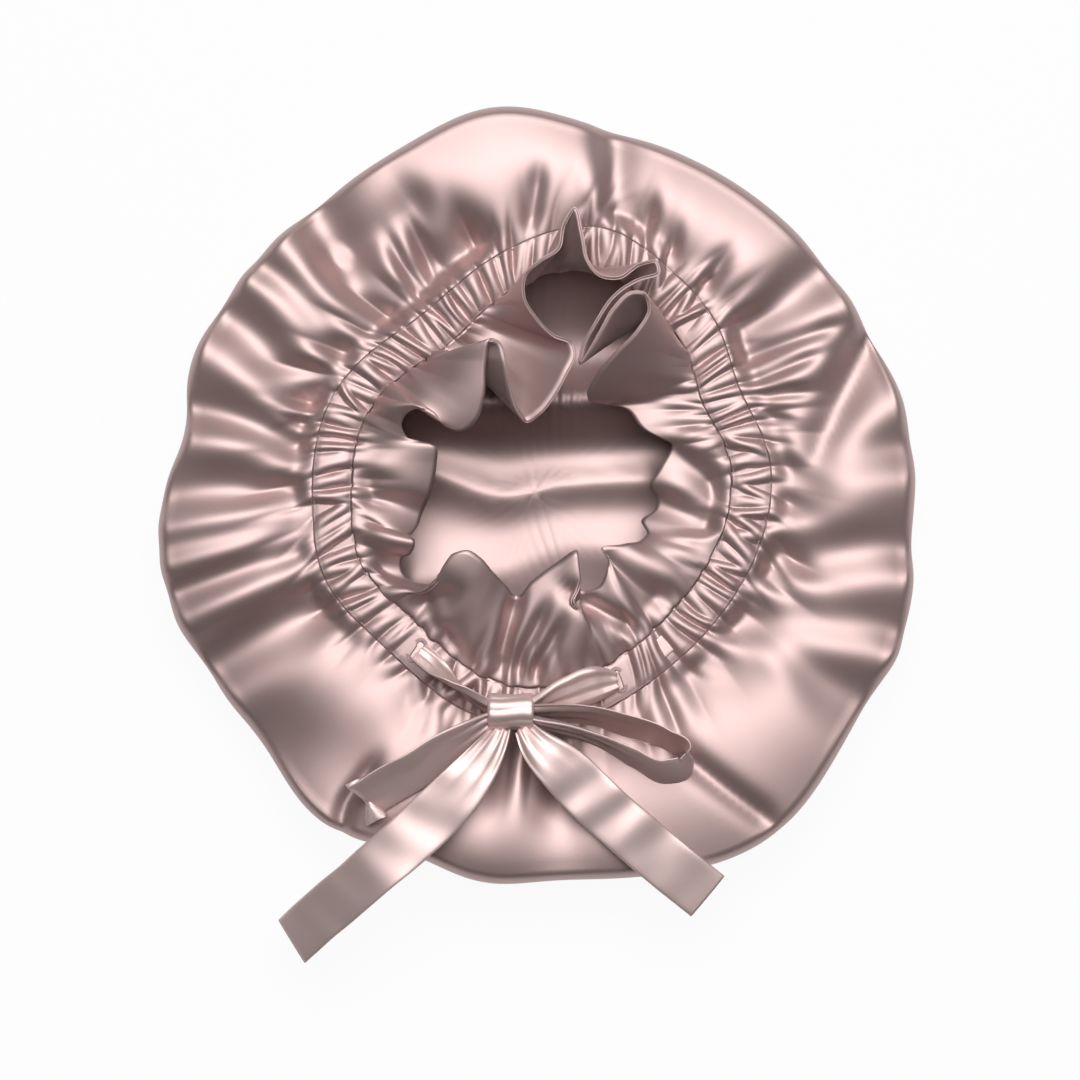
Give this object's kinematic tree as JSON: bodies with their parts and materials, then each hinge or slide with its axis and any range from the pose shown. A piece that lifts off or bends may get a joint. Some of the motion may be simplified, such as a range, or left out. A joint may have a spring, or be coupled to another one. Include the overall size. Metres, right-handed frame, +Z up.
{
  "type": "satin hair bonnet",
  "caption": "Puffed satin hair bonnet lying on its crown, with a gathered elastic casing, a folded frill round the mouth and a ribbon tie knotted in a bow.",
  "frame": {"origin": "middle of the face that the crown rests on, on the table", "axes": "+Z up out of the mouth, -Y towards the bow, +X to the right of someone facing the bow with the mouth up"},
  "size_m": [0.3167, 0.3579, 0.0656],
  "materials": {
    "satin": "satin",
    "lining": "satin",
    "ribbon": "satin",
    "thread": "matte",
    "elastic": "matte"
  },
  "bodies": {
    "bonnet": {"crown_outer": "satin", "casing_outer": "satin", "frill_outer": "satin", "crown_lining": "lining", "casing_lining": "lining", "frill_lining": "lining", "elastic_band": "elastic", "tie_anchor_left": "ribbon", "tie_anchor_right": "ribbon", "crown_stitch_row": "thread", "frill_stitch_row": "thread", "frill_edge_stitch": "thread", "buttonhole_left": "thread", "buttonhole_right": "thread", "elastic_tack_left": "thread", "elastic_tack_right": "thread"},
    "bow": {"tie_run_left": "ribbon", "tie_run_right": "ribbon", "knot": "ribbon"},
    "left_loop": {"loop_left": "ribbon"},
    "right_loop": {"loop_right": "ribbon"},
    "left_tail": {"tail_left": "ribbon"},
    "right_tail": {"tail_right": "ribbon"}
  },
  "joints": [
    {"name": "bow_lift", "type": "hinge", "parent": "bonnet", "child": "bow", "pos_m": [-0.0066, -0.06796, 0.041], "axis": [-0.9893, 0.146, 0], "range_deg": [0, 30]},
    {"name": "left_loop_lift", "type": "hinge", "parent": "bow", "child": "left_loop", "pos_m": [-0.01943, -0.09493, 0.0497], "axis": [-0.53, 0.848, 0], "range_deg": [0, 20]},
    {"name": "right_loop_lift", "type": "hinge", "parent": "bow", "child": "right_loop", "pos_m": [-0.00063, -0.09353, 0.0502], "axis": [-0.27, -0.9629, 0], "range_deg": [0, 20]},
    {"name": "left_tail_lift", "type": "hinge", "parent": "left_loop", "child": "left_tail", "pos_m": [-0.01403, -0.09993, 0.0493], "axis": [-0.72, 0.694, 0], "range_deg": [0, 30]},
    {"name": "right_tail_lift", "type": "hinge", "parent": "right_loop", "child": "right_tail", "pos_m": [-0.00563, -0.09993, 0.0497], "axis": [-0.694, -0.72, 0], "range_deg": [0, 30]}
  ]
}
